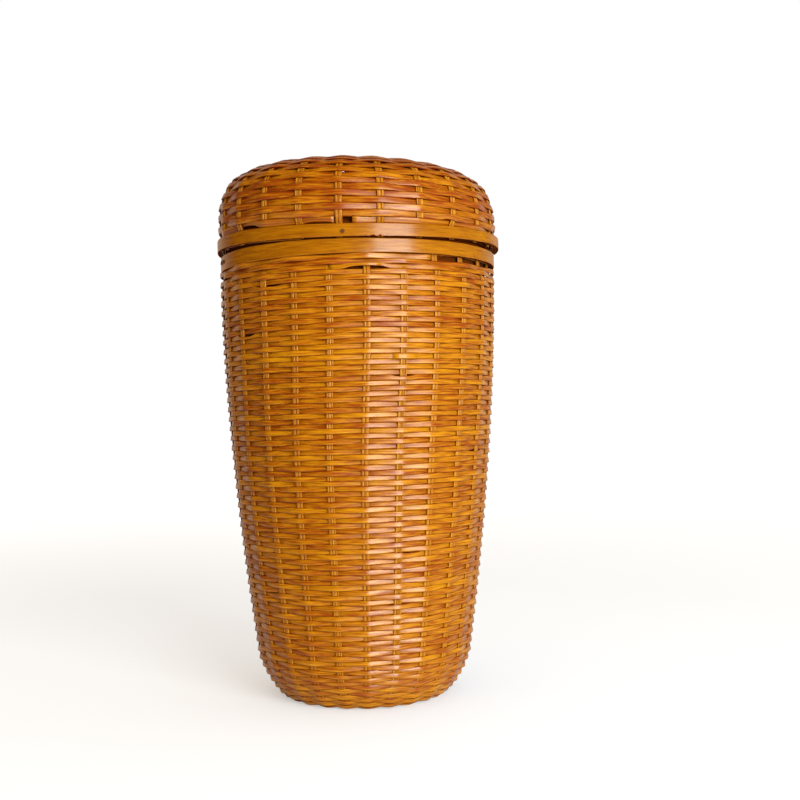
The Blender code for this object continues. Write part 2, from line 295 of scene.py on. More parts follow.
# %% [markdown]
# ## Shared parts of every strip
# A strip starts as a flat grid: its long side becomes the length of the strip and its short side is rolled
# up round the section. The section is a flat oval like a split bamboo splint. The first and the last ring of
# points are drawn together in the middle, which closes the strip with an end cut square, as a knife leaves
# it. The lid's rim is sprung: it stands off the body at its two sides, and the weave there is bent with it.

# %% Grid, oval section and sprung rim
touching = 0.00001   # points nearer than this become one


def strip_grid(tree, long_steps, round_steps):
    node = add(tree, "GeometryNodeMeshGrid", {"Size X": 1.0, "Size Y": 1.0, "Vertices X": long_steps + 1.0,
                                              "Vertices Y": round_steps + 1.0})
    x, y, _ = parts(out(add(tree, "GeometryNodeInputPosition")))
    ring = (x + 0.5) * long_steps
    along = ((ring - 1.0) / (long_steps - 2.0)).clamped()
    return out(node), along, y + 0.5, ring.math("MINIMUM", long_steps - ring).clamped()


def oval(around, width_fullness, depth_fullness):
    """Across and outward shares of a flat oval section. A smaller fullness is squarer."""
    turn = around * math.tau
    return turn.cos().bent(width_fullness), turn.sin().bent(depth_fullness)


def sprung(x, y, z, warp):
    """The height of a point once the lid's rim stands off at its two sides."""
    side = x * x / (x * x + y * y + 1e-9)
    rise = (z - seat) / warp_fade
    return z + warp * (side * (1.0 - rise).clamped() - x * rise.clamped() * crown_lean)


def end_tree(strip, grain, lie, x, y, z, warp, finish):
    """End a tree: mark the points, put them in place, and close, smooth and dress the strip."""
    tree = strip.tree
    strip = keep_attribute(strip, "grain", vector(*grain))
    strip = keep_attribute(strip, "lie", vector(*lie))
    for kind, inputs in (("SetPosition", {"Position": vector(x, y, sprung(x, y, z, warp))}),
                         ("MergeByDistance", {"Distance": touching}), ("SetShadeSmooth", {}),
                         ("RealizeInstances", {}), ("SetMaterial", {"Material": finish})):
        strip = out(add(tree, f"GeometryNode{kind}", {"Geometry": strip, **inputs}))
    feed(tree.nodes["Group Output"].inputs["Geometry"], strip)


def bake(tree, name, **sizes):
    """Run a tree on an empty mesh, keep the result as a plain mesh and take the modifier off."""
    holder = new_object(name, bpy.data.meshes.new(name))
    modifier = holder.modifiers.new("Tree", "NODES")
    modifier.node_group = tree
    for socket in tree.interface.items_tree:
        if socket.in_out == "INPUT" and socket.name in sizes:
            modifier[socket.identifier] = sizes.pop(socket.name)
    if sizes:
        raise ValueError(f"{tree.name} has no input {sorted(sizes)}")
    shown = holder.evaluated_get(bpy.context.evaluated_depsgraph_get())
    mesh = bpy.data.meshes.new_from_object(shown)
    holder.modifiers.remove(modifier)
    empty, holder.data = holder.data, mesh
    bpy.data.meshes.remove(empty)
    mesh.name = name
    return holder


def volume(mesh):
    mesh.calc_loop_triangles()
    spots = mesh.vertices
    return sum(spots[a].co.dot(spots[b].co.cross(spots[c].co)) / 6
               for a, b, c in (face.vertices for face in mesh.loop_triangles))


def finish_piece(piece, body, finish, *nodes):
    """Ride the piece on its body, let it stand for its nodes, and say what was made."""
    inside = volume(piece.data)
    if inside < 0:
        piece.data.flip_normals()
    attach(piece, body)
    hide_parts(*nodes)
    print(f"{piece.name}: {len(piece.data.loop_triangles)} triangles, {abs(inside) * 1e9:.0f} mm3")


def joined(pieces):
    """Join plain mesh objects into the first of them."""
    first = pieces[0]
    with bpy.context.temp_override(active_object=first, selected_editable_objects=pieces,
                                   selected_objects=pieces):
        bpy.ops.object.join()
    return first


print("strip helpers ready")

# %% [markdown]
# ## Lacquered bamboo
# Split bamboo has fine fibres that run along the strip, and each splint has a tone of its own. The basket
# wears an amber lacquer. Along the edges of a strip the colour is painted darker, partly for lacquer that
# pools there and partly as painted shade between the rows, and where a weaver dives behind a stake it is
# painted darker as painted shade. The lacquer gleams less at both. One group makes colour, roughness,
# relief and lacquer from the attribute "grain" (length in millimetres, place across from -1 to 1, number of
# the splint) and the attribute "lie" (how deep the strip dives, which sets the painted shade, its tone, how
# chipped its lower edge is). Every bamboo material uses it with its own values.

# %% The bamboo group
def blend_colours(share, first, second):
    return out(add(share.tree, "ShaderNodeMix", {0: share, 6: first, 7: second}, data_type="RGBA"), 2)


bamboo, given, leave = new_group(
    "ShaderNodeTree", "Lacquered bamboo",
    {"Light tone": (0.60, 0.244, 0.001, 1), "Dark tone": (0.28, 0.046, 0.0002, 1),
     "Edge tone": (0.11, 0.004, 0.0, 1), "Fibres": 1.4, "Splint spread": 0.5, "Edge width": 0.4,
     "Dive shade": 0.2, "Fibres across": 1.0},
    {"Colour": "Color", "Roughness": "Float", "Height": "Float", "Lacquer": "Float"})

(along, across, splint), (dive, tone, chipped) = (
    parts(out(add(bamboo, "ShaderNodeAttribute", attribute_name=name), "Vector"))
    for name in ("grain", "lie"))
fine = noise(vector(along * 0.06, across * given["Fibres across"], splint * 7.3), 2.2, 2.0)
broad = noise(vector(along * 0.02, across * 1.1, splint * 3.1), 1.3, 1.0)
patch = noise(vector(along * 0.05, 0.0, splint * 1.7), 1.0, 1.0)
lightness = (0.5 + fine * given["Fibres"] * 0.5 + broad * 0.2 + patch * 0.12
             + tone * given["Splint spread"]).clamped()
body_colour = blend_colours(lightness, given["Dark tone"], given["Light tone"])

# The edges of a strip and the dives behind a stake are blended towards the edge tone. At the edges this is
# partly lacquer pooled there and partly painted shade between the rows, and at the dives it is painted
# shade. The chips on a hoop's lower edge are real wear.
rim = ((across.abs() - (1.0 - given["Edge width"])) / given["Edge width"]).clamped() ** 1.5
chips = noise(vector(along * 0.7, across * 2.5, 0.0), 1.0, 2.0)
chips = (chips * 8.0).clamped() * ((-across - 0.72) * 8.0).clamped() * chipped
stain_and_shade = (rim * 0.9 + dive * given["Dive shade"] + chips).clamped()
feed_all(leave, {"Colour": blend_colours(stain_and_shade, body_colour, given["Edge tone"]),
                 "Roughness": 0.36 - fine * 0.05 + stain_and_shade * 0.12, "Height": fine * 0.5 + broad * 0.25,
                 "Lacquer": 1.0 - (rim * 1.4 + dive * 0.8 + chips).clamped()})
print("bamboo group:", len(bamboo.nodes), "nodes")

# %% [markdown]
# ## The finishes
# The shader stays in each material, with its plain numbers on the shader's own sockets. The coat is the
# lacquer: a clear layer with a softer gleam on the weavers than on the smooth hoops. The collar and the
# lid's inner hoop have none, and their tones are painted much darker than the other bamboo, as painted
# shade for the shadowed gap between the hoops.

# %% Bamboo materials and the nails' iron
relief_depth = 0.0002


def new_material(name):
    """A material, its tree and its shader."""
    material = bpy.data.materials.new(name)
    material.use_nodes = True
    return material, material.node_tree, material.node_tree.nodes["Principled BSDF"]


def bamboo_material(name, coat, coat_roughness, relief, sheen=0.0, **values):
    material, tree, shader = new_material(name)
    group = add(tree, "ShaderNodeGroup", {label.replace("_", " "): value for label, value in values.items()},
                node_tree=bamboo)
    bump = add(tree, "ShaderNodeBump", {"Distance": relief_depth * relief, "Height": out(group, "Height")})
    feed_all(shader, {"Coat Roughness": coat_roughness, "Coat IOR": 1.5, "Specular IOR Level": sheen,
                      "Specular Tint": (1.0, 0.8, 0.35, 1.0), "Base Color": out(group, "Colour"),
                      "Roughness": out(group, "Roughness"), "Coat Weight": out(group, "Lacquer") * coat,
                      "Normal": out(bump)})
    return material


weaver_finish = bamboo_material("Weaver bamboo", 0.75, 0.24, 0.6, 0.12)
stake_finish = bamboo_material("Stake bamboo", 0.35, 0.3, 0.4, 0.1, Light_tone=(0.68, 0.3, 0.015, 1),
                               Dark_tone=(0.3, 0.07, 0.001, 1), Edge_width=0.25, Splint_spread=0.4,
                               Fibres_across=1.6)
hoop_finish = bamboo_material("Hoop bamboo", 0.8, 0.2, 1.8, Light_tone=(0.48, 0.18, 0.0008, 1),
                              Dark_tone=(0.24, 0.062, 0.0003, 1), Edge_width=0.08, Fibres=0.9,
                              Fibres_across=1.5)
# The collar's dark tones are painted shade, for the shadow in the gap between the hoops.
collar_shaded_finish = bamboo_material("Collar bamboo painted dark", 0.0, 0.35, 0.2, Light_tone=(0.17, 0.04, 0.004, 1),
                                Dark_tone=(0.06, 0.012, 0.0012, 1), Edge_width=0.1, Fibres=0.7,
                                Fibres_across=8.0)

iron_finish, iron_tree, iron_shader = new_material("Dark iron")
iron_place = out(add(iron_tree, "ShaderNodeTexCoord"), "Object")
rust = (noise(iron_place, 1800.0, 2.0) * 0.5 + 0.5).clamped()
feed_all(iron_shader, {"Metallic": 0.4, "Roughness": 0.5 + rust * 0.3,
                       "Base Color": blend_colours(rust, (0.09, 0.022, 0.003, 1), (0.2, 0.05, 0.004, 1))})
print("materials:", [material.name for material in bpy.data.materials if material.use_nodes])

# %% [markdown]
# ## The weaver
# A weaver goes over one stake and under the next in one long spiral. With an odd number of stakes its swing
# in and out is a wave of half the stakes' number for each turn, so each turn swings against the last.
# Between two stakes a stiff splint runs nearly straight, so the wave is a zigzag with eased turns. Small
# noises from a fixed seed make the rows wander, lean and change width as hand-split strips do, and every
# splint of a little over one turn gets a tone of its own.

# %% The weaver tree
splint_reach = 30.0   # stakes that one splint passes
slit_names = ["Slit 1", "Slit 2", "Slit 3", "Slit 4"]
slit_inputs = {f"{name} {part}": value for name in slit_names
               for part, value in (("at", -99.0), ("run", 1.0), ("cut", 0.0))}
weaver_tree, w = new_tree("Spiral weaver", {
    "Outline": "Object", "From": 0.0, "To": 0.1, "First turn": 0.0, "Turns": 10.0, "Gathering": 1.0,
    "Stakes": 25.0, "Stake phase": 0.0, "Twist": 0.0, "Out sign": 1.0, "Width share": 1.13,
    "Thickness": 0.00055, "Depth": 0.0011, "Swing": 0.00068, "Dive": 1.25, "Straightness": 0.8,
    "Upright": 1.6, "Face up": 0.08, "Wander": 0.0002, "Row play": 0.00008, "Lean": 0.13,
    "Width play": 0.14, "Warp": 0.0, "Tone shift": 0.0,
    **slit_inputs, "Seed": 1.0, "Steps": 100, "Section": 10, "Finish": "Material"})
grid, u, v, open_ring = strip_grid(weaver_tree, w["Steps"], w["Section"])
turns = w["First turn"] + w["Turns"] * u
angle = turns * math.tau
reach = w["To"] - w["From"]
place = w["From"] + reach * u ** w["Gathering"]
pitch = reach * w["Gathering"] * (u + 0.001) ** (w["Gathering"] - 1.0) / w["Turns"]

outline = add(weaver_tree, "GeometryNodeObjectInfo", {"Object": w["Outline"]})
sample = add(weaver_tree, "GeometryNodeSampleCurve", {"Curves": out(outline, "Geometry"), "Length": place},
             mode="LENGTH")
radius, _, height = parts(out(sample, "Position"))
run_r, _, run_z = parts(out(sample, "Tangent"))
out_r, out_z = run_z * w["Out sign"], -(run_r * w["Out sign"])

turned = smooth_step(((twist_top - height) / twist_run).clamped()) * w["Twist"]
phase = w["Stakes"] * (angle - w["Stake phase"] - turned) * 0.5
zigzag = phase.cos().math("ARCSINE") * (2 / math.pi)
from_middle = (phase * 2.0).cos().math("ARCCOSINE") / w["Stakes"] - math.pi / w["Stakes"]
chord = (math.pi / w["Stakes"]).cos() / from_middle.cos() - 1.0
under = ((1.0 - zigzag) * 0.5) ** w["Dive"]
swing = 1.0 - under * 2.0

count = w["Stakes"] * turns
wander = noise(vector(angle.cos() * 1.6, angle.sin() * 1.6, place * 42.0 + w["Seed"])) * w["Wander"]
own = noise(vector(count * 0.35, w["Seed"] * 3.7, 0.0)) * w["Row play"]
lean = noise(vector(count * 0.5, w["Seed"] * 5.1, 4.0)) * w["Lean"]
width_play = 1.0 + noise(vector(count * 0.4, w["Seed"] * 2.3, 9.0)) * w["Width play"]

share_across, share_out = oval(v, 0.5, 0.45)
half = pitch * w["Width share"] * 0.5 * width_play
edge_shift = 0.0
for slit in slit_names:
    opening = (1.0 - ((count - w[f"{slit} at"]) / w[f"{slit} run"]) ** 4.0).clamped() * w[f"{slit} cut"]
    half = half - opening.abs() * 0.48
    edge_shift = edge_shift - opening * 0.52
half = half * open_ring
strip_across = share_across * half
tilt = lean - run_r * run_z ** 4.0 * w["Upright"] - w["Face up"]
strip_out = share_out * w["Thickness"] * 0.5 * open_ring + strip_across * tilt
lift = w["Swing"] * swing - w["Depth"] + strip_out
slide = strip_across + wander + own + edge_shift
ring = radius * (1.0 + chord * w["Straightness"] * run_z.abs()) + out_r * lift + run_r * slide
x, y = ring * angle.sin(), -(ring * angle.cos())
z = (height + out_z * lift + run_z * slide).math("MAXIMUM", lowest)
splint_number = ((phase / math.pi - 1.0) / splint_reach + w["Seed"] * 2.0).math("FLOOR")
splint_tone = chance(splint_number) * 0.9 + w["Tone shift"]
# The first value of "lie" is how far the strip dives behind a stake; the bamboo group paints shade from it.
end_tree(grid, (angle * radius * 1000.0, share_across, splint_number), (under ** 2.0, splint_tone, 0.0),
         x, y, z, w["Warp"], w["Finish"])
print("weaver tree:", len(weaver_tree.nodes), "nodes")

# %% [markdown]
# ## Weaving the body
# The spiral climbs to the right as seen from the front. It is baked in four runs. The first three end
# behind a stake, where a maker also hides the change from one splint to the next, and the last ends at the
# front of the basket. The rows are tighter under the base and round the turn than on the wall. A slit is
# a place where two rows stand a little apart.

# %% Bake the body's four runs
steps_per_stake = 9


def turn_behind_stake(turns, stakes, phase):
    """The nearest turn at which the weaver passes behind a stake."""
    crossing = 2 * round((turns * stakes - phase / math.tau * stakes - 1) / 2) + 1
    return (crossing + phase / math.tau * stakes) / stakes


def height_at(points, place):
    """The height of an outline at a length along it."""
    for first, second in zip(points, points[1:]):
        step = math.dist(first, second)
        if place <= step:
            return first[1] + (second[1] - first[1]) * place / step
        place -= step
    return points[-1][1]


def row_nearest(points, marks, first_turn, last_turn, gathering, angle, height):
    """The turn at which a run passes an angle (in degrees) nearest to a height."""
    passes = [whole + angle / 360 for whole in range(int(first_turn), int(last_turn) + 2)]
    passes = [at for at in passes if first_turn < at < last_turn]

    def miss(at):
        share = ((at - first_turn) / (last_turn - first_turn)) ** gathering
        return abs(height_at(points, marks[0] + (marks[1] - marks[0]) * share) - height)
    return min(passes, key=miss)


def mark_at(run, turn):
    """How far along its outline a run has come at a turn."""
    _, (low, high), first_turn, last_turn, gathering = run
    return low + (high - low) * ((turn - first_turn) / (last_turn - first_turn)) ** gathering


def weave(name, part, marks, ends, gathering=1.0, slits=(), **sizes):
    """Bake a run between two turns. slits is a list of (angle, height, half length in stakes, cut)."""
    line, points, stakes, phase = part
    first_turn, last_turn = ends
    steps = round((last_turn - first_turn) * stakes * steps_per_stake)
    if line is body_line:
        sizes["Twist"] = twist
    for slit, (angle, height, run, cut) in zip(slit_names, slits):
        at = row_nearest(points, marks, *ends, gathering, angle, height)
        print(f"{name}: slit at turn {at:.2f} of {first_turn:.2f} to {last_turn:.2f}")
        sizes.update({f"{slit} at": at * stakes, f"{slit} run": run, f"{slit} cut": cut})
    piece = bake(weaver_tree, name, Outline=line, From=marks[0], To=marks[1], Turns=last_turn - first_turn,
                 Gathering=gathering, Stakes=float(stakes), Steps=steps, Finish=weaver_finish,
                 **{"First turn": first_turn, "Stake phase": phase, **sizes})
    print(f"{name}: {last_turn - first_turn:.1f} rows in {1000 * (marks[1] - marks[0]):.1f} mm")
    return piece


body_points = body_outline()
body = (body_line, body_points, body_stakes, body_phase)
low_height, high_height = 0.077, 0.1366   # where the wall's runs meet
foot_rows, all_rows, base_gathering = 27, 106, 1.12
start_mark, short_of_tuck = 0.0007, 0.0002
foot, low_mark, high_mark, end_mark = (
    length_to(body_points, lambda radius, up_to: up_to >= height)
    for height in (turn_height, low_height, high_height, tuck_start))
end_mark -= short_of_tuck

# The last splint ends just before the third stake to the right of the front.
last_stake, short_of = 2, 0.23
end_turn = all_rows + (last_stake - short_of + body_phase / math.tau * body_stakes) / body_stakes
start_turn = turn_behind_stake(0.0, body_stakes, body_phase + twist)
foot_turn = turn_behind_stake(start_turn + foot_rows, body_stakes, body_phase + twist)
wall_row = (end_mark - foot) / (end_turn - foot_turn)
low_turn, high_turn = (
    turn_behind_stake(foot_turn + (mark - foot) / wall_row, body_stakes, body_phase + twisted(height))
    for mark, height in ((low_mark, low_height), (high_mark, high_height)))
low_mark, high_mark = (foot + (turn - foot_turn) * wall_row for turn in (low_turn, high_turn))
print(f"wall rows are {wall_row * 1000:.3f} mm apart")

front_slit = (5.2, 0.1667, 0.61, -0.0011)
base_rows = weave("base_rows", body, (start_mark, foot), (start_turn, foot_turn), base_gathering,
                  slits=[(-2, 0.0149, 0.5, 0.0006)])
low_rows = weave("lower_wall_rows", body, (foot, low_mark), (foot_turn, low_turn),
                 slits=[(24, 0.061, 0.4, 0.0005), (-47, 0.044, 0.4, 0.0006)])
mid_rows = weave("middle_wall_rows", body, (low_mark, high_mark), (low_turn, high_turn),
                 slits=[(19, 0.1262, 0.35, 0.0007), (60, 0.098, 0.4, 0.0006)])
top_rows = weave("upper_wall_rows", body, (high_mark, end_mark), (high_turn, end_turn),
                 slits=[front_slit, (-50, 0.1434, 0.4, 0.0011), (-35.5, 0.1613, 0.5, 0.0009),
                        (44, 0.1687, 1.9, 0.0005)], **{"Tone shift": -0.26})

# %% [markdown]
# ## Under the hoop, and mended places
# Where the last splint ends, the weave misses about half a turn, which leaves a dark gap under the hoop. Two
# more rows behind the hoop hold it. In three places a short splint lies over a row, as a maker covers one
# that split. All are short runs of the same tree, and the mends stand a little prouder than their rows.

# %% Rows behind the hoop and mends
wall_run = (body_points, (foot, end_mark), foot_turn, end_turn, 1.0)
raised = {"Depth": 0.0007, "Tone shift": 0.25, "Width play": 0.05}


def mend(name, angle_from, angle_to, height, slits=()):
    """A short splint that lies over a row of the wall."""
    begins = row_nearest(*wall_run, angle_from, height)
    ends = begins, begins + (angle_to - angle_from) / 360
    marks = [mark_at(wall_run, turn) for turn in ends]
    return weave(name, body, marks, ends, slits=slits, **raised)


skipped, rim_crossings = 12.23, 52   # counted in stakes
rim_turn = end_turn + skipped / body_stakes
rim_mark = end_mark + wall_row * skipped / body_stakes + tuck_run
rim_rows = weave("rim_rows", body, (rim_mark, rim_mark + wall_row * rim_crossings / body_stakes),
                 (rim_turn, rim_turn + rim_crossings / body_stakes))
mend_1 = mend("mend_1", -9, 10.6, front_slit[1], [front_slit])
mend_2 = mend("mend_2", 34.1, 51.5, 0.1603)
mend_3 = mend("mend_3", 14.8, 24.7, 0.1342)
top_rows = joined([top_rows, rim_rows, mend_1, mend_2])
mid_rows = joined([mid_rows, mend_3])
for rows, node in ((base_rows, "base_weavers"), (low_rows, "lower_wall_weavers"),
                   (mid_rows, "middle_wall_weavers"), (top_rows, "upper_wall_weavers")):
    finish_piece(rows, "basket", "weaver", node)

# %% [markdown]
# ## Weaving the lid
# The lid is woven in the same way from its crown, with fewer stakes and wider strips down its side. Low in
# front one weaver has been cut off just short of a stake, and the next begins a little past it, so the
# side is baked in two runs.

# %% Bake the lid's three runs
lid_points = lid_outline()
lid = (lid_line, lid_points, lid_stakes, lid_phase)
crown_reach, short_of_rim = 0.0483, 0.0012
crown_row_count, side_row_count, crown_gathering, side_gathering = 21, 14, 1.08, 1.14
cut_height, stop_angle, again_angle = 0.1832, -6.6, 0.2
crown_mark = length_to(lid_points, lambda r, z: r >= crown_reach)
lid_end = length_to(lid_points) - short_of_rim
lid_start_turn = turn_behind_stake(0.0, lid_stakes, lid_phase)
crown_turn = turn_behind_stake(lid_start_turn + crown_row_count, lid_stakes, lid_phase)
side_turn = turn_behind_stake(crown_turn + side_row_count, lid_stakes, lid_phase)
lid_sizes = {"Out sign": -1.0, "Upright": 0.0, "Face up": 0.0, "Warp": rim_warp, "Seed": 3.0,
             "Tone shift": -0.42}
crown_rows = weave("crown_rows", lid, (start_mark, crown_mark), (lid_start_turn, crown_turn),
                   crown_gathering, **lid_sizes)
side_run = (lid_points, (crown_mark, lid_end), crown_turn, side_turn, side_gathering)
stop, again = (row_nearest(*side_run, angle, cut_height) for angle in (stop_angle, again_angle))
stop_mark, again_mark = mark_at(side_run, stop), mark_at(side_run, again)
print(f"the last weaver stops at turn {stop:.2f} and the next begins at {again:.2f}")
side_rows = weave("lid_side_rows", lid, (crown_mark, stop_mark), (crown_turn, stop), side_gathering,
                  [(-12.5, cut_height, 0.42, 0.0008), (-46, 0.1835, 0.45, 0.0016),
                   (39.5, 0.185, 0.2, 0.0006)], **lid_sizes)
last_rows = weave("lid_last_rows", lid, (again_mark, lid_end), (again, side_turn), **lid_sizes)
side_rows = joined([side_rows, last_rows])
finish_piece(crown_rows, "lid", "weaver", "lid_crown_weavers")
finish_piece(side_rows, "lid", "weaver", "lid_side_weavers")

# %% [markdown]
# ## The stakes
# Each stake is a strip of two to four fine splints, side by side. A long strip crosses under the base (or
# over the crown) and runs up the wall on both sides, which gives two stakes, and one short strip makes the
# number odd. The path is a helper mesh of edges that carries the outward direction and the width at each
# point, and the tree lays the splints along it.

# %% The stake tree
stake_length_mm = 400.0
stake_tree, s = new_tree("Split stake", {
    "Path": "Object", "Splints": 2, "Uneven": 0.5, "Thickness": 0.0007, "Play": 0.00006,
    "Warp": 0.0, "Seed": 1.0, "Steps": 120, "Section": 8, "Finish": "Material"})
grid, u, v, open_ring = strip_grid(stake_tree, s["Steps"], s["Section"])
seats = add(stake_tree, "GeometryNodeMeshLine", {"Count": s["Splints"], "Offset": (0.0, 0.0, 0.0)})
copies = out(add(stake_tree, "GeometryNodeInstanceOnPoints", {"Points": out(seats), "Instance": grid}))
number = out(add(stake_tree, "GeometryNodeInputIndex"))
copies = keep_attribute(copies, "place", vector(number, 0.0, 0.0), "INSTANCE")
bundle = out(add(stake_tree, "GeometryNodeRealizeInstances", {"Geometry": copies}))
number, _, _ = parts(read_attribute(stake_tree, "place"))

path = add(stake_tree, "GeometryNodeObjectInfo", {"Object": s["Path"]})
path_curve = out(add(stake_tree, "GeometryNodeMeshToCurve", {"Mesh": out(path, "Geometry")}))


def on_path(attribute, data_type="FLOAT_VECTOR"):
    """Sample the path along the strip, with one attribute of its points."""
    value = read_attribute(stake_tree, attribute, data_type)
    return add(stake_tree, "GeometryNodeSampleCurve", {"Curves": path_curve, "Factor": u, "Value": value},
               data_type=data_type)


lean_on_path, width_on_path = on_path("outward"), on_path("width", "FLOAT")
px, py, pz = parts(out(lean_on_path, "Position"))
tx, ty, tz = parts(out(lean_on_path, "Tangent"))
nx, ny, nz = parts(out(lean_on_path, "Value"))
sx, sy, sz = ty * nz - tz * ny, tz * nx - tx * nz, tx * ny - ty * nx

splints = s["Splints"].math("ADD", 0.0)


def splint_edge(edge):
    """Where one splint ends and the next begins, across the stake from 0 to 1."""
    inner = edge.math("GREATER_THAN", 0.5) * (splints - edge).math("GREATER_THAN", 0.5)
    return (edge + chance(edge + s["Seed"] * 7.0) * s["Uneven"] * inner) / splints


left_edge, right_edge = splint_edge(number), splint_edge(number + 1.0)
share = (left_edge + right_edge) * 0.5 - 0.5
full_width = out(width_on_path, "Value")
along = u * 60.0
drift = noise(vector(along * 0.25, number * 5.3, s["Seed"] * 2.1)) * s["Play"]
rise = noise(vector(along * 0.12, number * 3.9, s["Seed"] * 4.7)) * s["Play"] * 1.4
share_across, share_out = oval(v, 0.7, 0.6)
splint_half = full_width * (right_edge - left_edge) * 0.51 * open_ring
across = share * full_width + drift + share_across * splint_half
lift = rise + share_out * s["Thickness"] * 0.5 * open_ring
x = px + sx * across + nx * lift
y = py + sy * across + ny * lift
z = (pz + sz * across + nz * lift).math("MAXIMUM", lowest)
splint_tone = chance(number + s["Seed"] * 11.0) * 1.1
end_tree(bundle, (u * stake_length_mm, share_across, number + s["Seed"] * 3.0), (0.0, splint_tone, 0.0),
         x, y, z, s["Warp"], s["Finish"])
print("stake tree:", len(stake_tree.nodes), "nodes")

# %% [markdown]
# ## The paths of the stakes
# Two groups of strips cross at right angles in the middle of the base. Going round the basket, the ends come
# in the order: the odd stake, then one end of each strip of the first group, of the second group, and then
# their far ends. Where they cross, each strip passes over one and under the next.

# %% Helper paths
cross_step = 0.00048   # how far a strip rises or dips where it crosses another


def outward(angle):
    return Vector((math.sin(angle), -math.cos(angle), 0.0))


def sideways(angle):
    return Vector((math.cos(angle), math.sin(angle), 0.0))


def outline_normals(points, out_sign):
    normals = []
    for index in range(len(points)):
        before, after = points[max(index - 1, 0)], points[min(index + 1, len(points) - 1)]
        run = Vector((after[0] - before[0], after[1] - before[1])).normalized()
        normals.append(Vector((run.y, -run.x)) * -out_sign)
    return normals


def wall_path(points, out_sign, first_angle):
    path = []
    for (radius, height), normal in zip(points, outline_normals(points, out_sign)):
        angle = first_angle + (twisted(height) if out_sign < 0 else 0.0)
        share = min(max((radius - weave_start) / (base_radius - weave_start), 0.0), 1.0)
        width = stake_width_at_centre + (stake_width - stake_width_at_centre) * share
        spot = outward(angle) * (radius - normal.x * weave_thickness / 2)
        spot.z = height - normal.y * weave_thickness / 2
        lean = outward(angle) * normal.x + Vector((0, 0, normal.y))
        path.append((spot, lean, width))
    return path


def cross_path(axis, offset, level, out_sign, first_sign, crossed):
    """Half of a crossing strip, from the middle outwards, passing over and under the other group."""
    path = []
    edge = (crossed - 1) / 2 * cross_pitch
    crossings = [-edge + step * cross_pitch for step in range(crossed)]
    for index, reach in enumerate(crossings):
        if reach < -0.0001:   # on the far side of the middle
            continue
        step = cross_step * (1 if (index + first_sign) % 2 else -1)
        spot = outward(axis) * reach + sideways(axis) * offset
        spot.z = level + out_sign * step
        path.append((spot, Vector((0, 0, out_sign)), stake_width_at_centre))
    return path


def helper_path(name, path):
    mesh = bpy.data.meshes.new(name)
    mesh.from_pydata([spot for spot, _, _ in path], [(i, i + 1) for i in range(len(path) - 1)], [])
    mesh.attributes.new("outward", "FLOAT_VECTOR", "POINT")
    mesh.attributes.new("width", "FLOAT", "POINT")
    mesh.attributes["outward"].data.foreach_set("vector", [value for _, lean, _ in path for value in lean])
    mesh.attributes["width"].data.foreach_set("value", [width for _, _, width in path])
    helpers.append(new_object(name, mesh))
    return helpers[-1]


def stake_paths(points, strips, phase, out_sign):
    """Yield (node ending, path) for every strip of the body or the lid."""
    total = 2 * strips + 1
    pitch = math.tau / total
    first_angle = phase + strips * pitch
    in_a = math.ceil(strips / 2)
    level = points[0][1] - out_sign * weave_thickness / 2
    in_b = strips - in_a
    for letter, size, near_first, other in (("a", in_a, 1, in_b), ("b", in_b, 1 + in_a, in_a)):
        far_first = near_first + strips
        near_axis = first_angle + (near_first + (size - 1) / 2) * pitch
        far_axis = first_angle + (far_first + (size - 1) / 2) * pitch
        axis = (near_axis + far_axis - math.pi) / 2 + (twist if out_sign < 0 else 0.0)
        for number in range(size):
            offset = (number - (size - 1) / 2) * cross_pitch
            near_angle = first_angle + (near_first + number) * pitch
            far_angle = first_angle + (far_first + size - 1 - number) * pitch
            sign = number + (letter == "b")
            near = cross_path(axis, offset, level, out_sign, sign, other)
            far = cross_path(axis + math.pi, -offset, level, out_sign, sign + other + 1, other)
            near += wall_path(points, out_sign, near_angle)
            far += wall_path(points, out_sign, far_angle)
            if other % 2:   # both halves begin with the middle point
                far = far[1:]
            yield f"{letter}{number + 1}", far[::-1] + near
    yield "odd", wall_path(points, out_sign, first_angle)


splint_counts, strip_steps, odd_steps = (2, 3, 3, 2, 4), 180, 90


def lay_stakes(prefix, rides, points, strips, phase, out_sign, warp):
    for index, (ending, path) in enumerate(stake_paths(points, strips, phase, out_sign)):
        helper = helper_path(f"path_{prefix}_{ending}", path)
        piece = bake(stake_tree, f"{prefix}_splints_{ending}", Path=helper, Warp=warp, Seed=float(index + 1),
                     Steps=odd_steps if ending == "odd" else strip_steps, Finish=stake_finish,
                     Splints=splint_counts[index % len(splint_counts)])
        finish_piece(piece, rides, "stake", f"{prefix}_stake_{ending}")


# The body's stakes lean in behind the hoop over a longer way than the weavers, so that they stay straight.
stake_line = body_outline(turn_steps=20, wall_steps=30, tuck_start=0.1645, tuck_run=0.0062)
lay_stakes("body", "basket", stake_line, body_strips, body_phase, -1, 0.0)
lay_stakes("lid", "lid", lid_outline(steps=24), lid_strips, lid_phase, 1, rim_warp)

# %% [markdown]
# ## Hoops and collar
# A hoop is one strip of stem wall, shaved smooth, bent round and fixed with small nails. The lid's hoop is
# longer than one turn, and its ends, thinned with a knife, lie over each other. Its lower edge is chipped in
# front, where the lacquer has gone and dark fibre shows. The body's hoop, the collar and the lid's inner
# hoop have butted ends.

